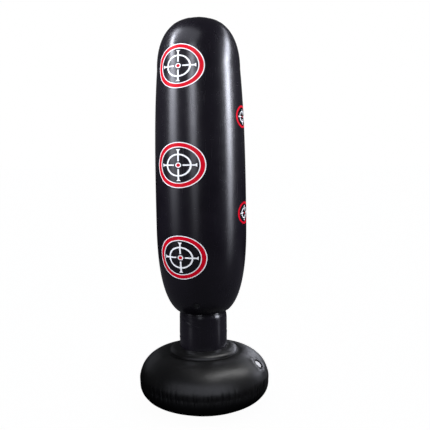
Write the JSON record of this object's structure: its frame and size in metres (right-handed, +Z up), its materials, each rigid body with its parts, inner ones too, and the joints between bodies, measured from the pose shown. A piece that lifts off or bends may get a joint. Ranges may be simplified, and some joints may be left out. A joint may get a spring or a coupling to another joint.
{
  "type": "free standing bag",
  "caption": "Tall inflatable punching bag: an air column with target prints on a bending neck over a round base weighted with water.",
  "frame": {"origin": "centre of the flat patch the base stands on, at floor level", "axes": "+Z up along the column's axis; the front with the large target prints faces -Y; the water valve is near +X"},
  "size_m": [0.548, 0.548, 1.6],
  "materials": {
    "column_pvc": "satin black calendered PVC sheet with a fine grain",
    "base_pvc": "softer satin black PVC sheet, slightly duller than the column",
    "moulded_pvc": "moulded flexible black PVC",
    "valve_cap_plastic": "moulded light grey plastic, semi matt",
    "seal_rubber": "soft black rubber",
    "flap_silicone": "translucent milky silicone",
    "water": "clear water",
    "print_red": "red screen-printed ink on the sheet",
    "print_white": "white screen-printed ink on the sheet"
  },
  "bodies": {
    "base": {"base_top_panel": "base_pvc", "base_bottom_panel": "base_pvc", "neck_collar": "base_pvc", "water_ballast": "water", "water_valve_seat": "moulded_pvc"},
    "neck": {"neck_tube": "column_pvc", "neck_baffle": "column_pvc"},
    "column": {"column_wall": "column_pvc", "top_dome_panel": "column_pvc", "top_crown_disc": "column_pvc", "bottom_taper_panel": "column_pvc", "air_valve_seat": "moulded_pvc"},
    "water_valve_seal": {"water_valve_seal": "seal_rubber"},
    "water_valve_insert": {"water_valve_insert": "moulded_pvc", "water_valve_strap": "moulded_pvc"},
    "water_valve_flap": {"water_valve_flap": "flap_silicone"},
    "water_valve_cap": {"water_valve_cap": "valve_cap_plastic"},
    "air_valve_stem": {"air_valve_stem": "moulded_pvc", "air_valve_strap": "moulded_pvc"},
    "air_valve_flap": {"air_valve_flap": "flap_silicone"},
    "air_valve_plug": {"air_valve_plug": "moulded_pvc"}
  },
  "joints": [
    {"name": "neck_tilt_x", "type": "hinge", "parent": "base", "child": "neck", "pos_m": [0, 0, 0.3185], "axis": [1, 0, 0], "range_deg": [-30, 30], "stiffness_Nm_per_rad": 40, "deforming": ["neck_tube"]},
    {"name": "neck_tilt_y", "type": "hinge", "parent": "neck", "child": "column", "pos_m": [0, 0, 0.3185], "axis": [0, 1, 0], "range_deg": [-30, 30], "stiffness_Nm_per_rad": 40, "deforming": ["neck_tube"]},
    {"name": "water_valve_lift", "type": "slide", "parent": "base", "child": "water_valve_seal", "axis": [0.6707, 0.0646, 0.7389], "range_m": [0, 0.012]},
    {"name": "water_valve_turn", "type": "hinge", "parent": "water_valve_seal", "child": "water_valve_insert", "pos_m": [0.24051, 0.02316, 0.1836], "axis": [0.6707, 0.0646, 0.7389], "range_deg": [0, 540]},
    {"name": "water_valve_cap_open", "type": "hinge", "parent": "water_valve_insert", "child": "water_valve_cap", "pos_m": [0.23783, 0.04048, 0.18249], "axis": [-0.7355, -0.0708, 0.6738], "range_deg": [0, 120], "deforming": ["water_valve_strap"]},
    {"name": "water_valve_flap_open", "type": "hinge", "parent": "water_valve_insert", "child": "water_valve_flap", "pos_m": [0.22946, 0.01205, 0.17037], "axis": [-0.7355, -0.0708, 0.6738], "range_deg": [0, 60]},
    {"name": "air_valve_pull", "type": "slide", "parent": "column", "child": "air_valve_stem", "axis": [0.2441, -0.8513, -0.4644], "range_m": [0, 0.01]},
    {"name": "air_valve_plug_open", "type": "hinge", "parent": "air_valve_stem", "child": "air_valve_plug", "pos_m": [0.04837, -0.13387, 0.44558], "axis": [0.128, -0.4464, 0.8856], "range_deg": [0, 120], "deforming": ["air_valve_strap"]},
    {"name": "air_valve_flap_open", "type": "hinge", "parent": "air_valve_stem", "child": "air_valve_flap", "pos_m": [0.02825, -0.1261, 0.45241], "axis": [0.128, -0.4464, 0.8856], "range_deg": [0, 60]}
  ],
  "couplings": [
    {"joint": "water_valve_turn", "follows": "water_valve_lift", "rad_per_m": 785.39}
  ]
}
